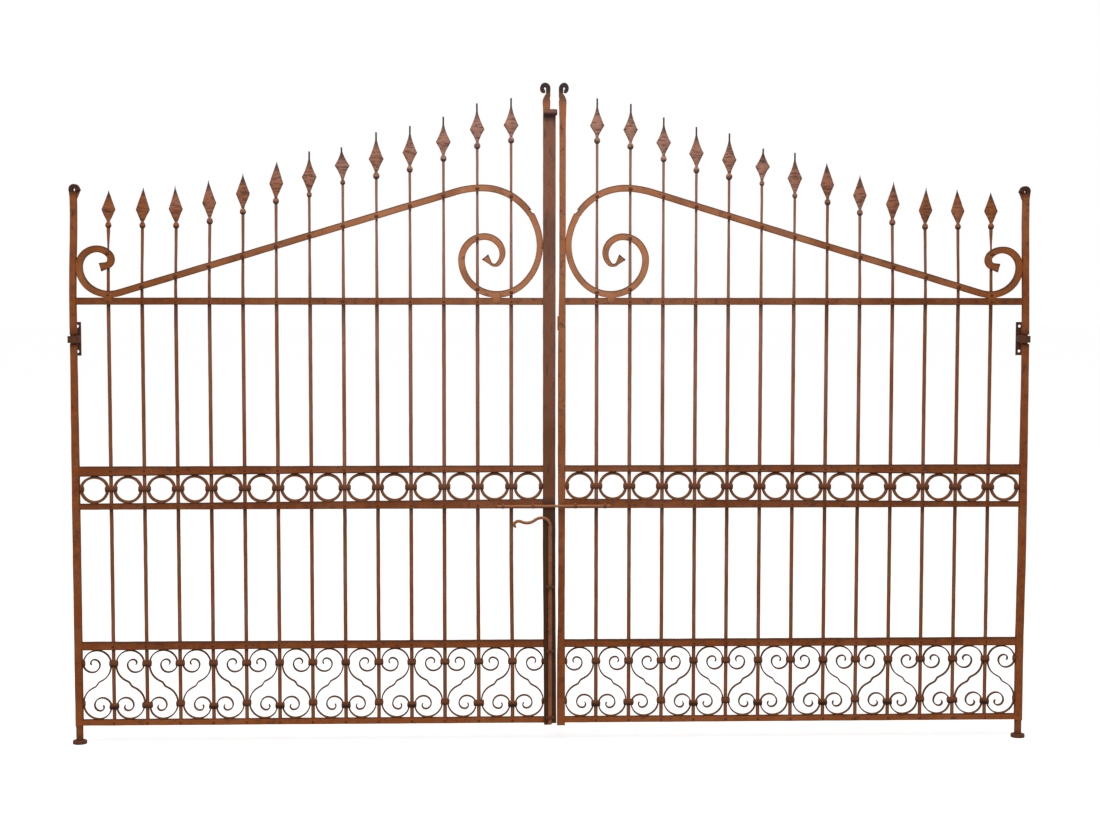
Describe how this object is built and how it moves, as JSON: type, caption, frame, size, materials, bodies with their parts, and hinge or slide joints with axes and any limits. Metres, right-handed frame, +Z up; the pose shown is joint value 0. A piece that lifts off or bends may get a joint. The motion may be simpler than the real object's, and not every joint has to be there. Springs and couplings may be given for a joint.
{
  "type": "wrought iron driveway gate, pair of leaves",
  "caption": "Pair of wrought iron driveway gate leaves with spear heads, sloping crest scrolls, a band of rings, a band of S-scrolls, a slam bar and a drop bolt, on floor pivots and collars.",
  "frame": {"origin": "middle of the left floor socket's underside, on the left leaf's pivot axis at ground level", "axes": "+X runs along the closed gate from the left pivot to the right one, +Y points to the outer side, away from the bolt, and +Z is up"},
  "size_m": [3.433, 0.1165, 2.3471],
  "materials": {
    "frame_iron": "rusted square wrought bar",
    "round_bar": "rusted round bar",
    "forged_heads": "hammered, rusted",
    "ring_iron": "forge welded, rusted",
    "collars": "dark rusted collar strip",
    "scroll_strip": "rusted flat strip",
    "slam_iron": "dark brown oxide scale",
    "bolt_iron": "rusted round bar, worn",
    "scroll_bar": "rusted square bar",
    "hanging_gear": "dark rusted iron"
  },
  "bodies": {
    "root": {"left_floor_socket": "hanging_gear", "right_floor_socket": "hanging_gear", "left_collar_bracket": "hanging_gear", "right_collar_bracket": "hanging_gear"},
    "left_leaf": {"left_hanging_stile": "frame_iron", "left_meeting_stile": "frame_iron", "left_stile_strap": "frame_iron", "left_top_rail": "frame_iron", "left_ring_top_rail": "frame_iron", "left_ring_low_rail": "frame_iron", "left_scroll_rail": "frame_iron", "left_bottom_rail": "frame_iron", "left_bars": "round_bar", "left_spear_heads": "forged_heads", "left_crest_scroll": "scroll_bar", "left_rings": "ring_iron", "left_ring_collars": "collars", "left_s_scrolls": "scroll_strip", "left_scroll_collars": "collars", "left_rod_staples": "bolt_iron", "slam_bar": "slam_iron", "slam_stop": "slam_iron", "bolt_staples": "slam_iron"},
    "right_leaf": {"right_hanging_stile": "frame_iron", "right_meeting_stile": "frame_iron", "right_stile_strap": "frame_iron", "right_top_rail": "frame_iron", "right_ring_top_rail": "frame_iron", "right_ring_low_rail": "frame_iron", "right_scroll_rail": "frame_iron", "right_bottom_rail": "frame_iron", "right_bars": "round_bar", "right_spear_heads": "forged_heads", "right_crest_scroll": "scroll_bar", "right_rings": "ring_iron", "right_ring_collars": "collars", "right_s_scrolls": "scroll_strip", "right_scroll_collars": "collars", "right_rod_staples": "bolt_iron"},
    "drop_bolt": {"drop_bolt": "bolt_iron"},
    "left_rod": {"left_closing_rod": "bolt_iron"},
    "right_rod": {"right_closing_rod": "bolt_iron"}
  },
  "joints": [
    {"name": "left_leaf_swing", "type": "hinge", "parent": "root", "child": "left_leaf", "pos_m": [0, 0, 0], "axis": [0, 0, -1], "range_deg": [0, 90]},
    {"name": "right_leaf_swing", "type": "hinge", "parent": "root", "child": "right_leaf", "pos_m": [3.383, 0, 0], "axis": [0, 0, 1], "range_deg": [0, 90]},
    {"name": "drop_bolt_slide", "type": "slide", "parent": "left_leaf", "child": "drop_bolt", "axis": [0, 0, 1], "range_m": [-0.1, 0]},
    {"name": "left_rod_slide", "type": "slide", "parent": "left_leaf", "child": "left_rod", "axis": [-1, 0, 0], "range_m": [0, 0.04]},
    {"name": "right_rod_slide", "type": "slide", "parent": "right_leaf", "child": "right_rod", "axis": [1, 0, 0], "range_m": [0, 0.04]}
  ]
}
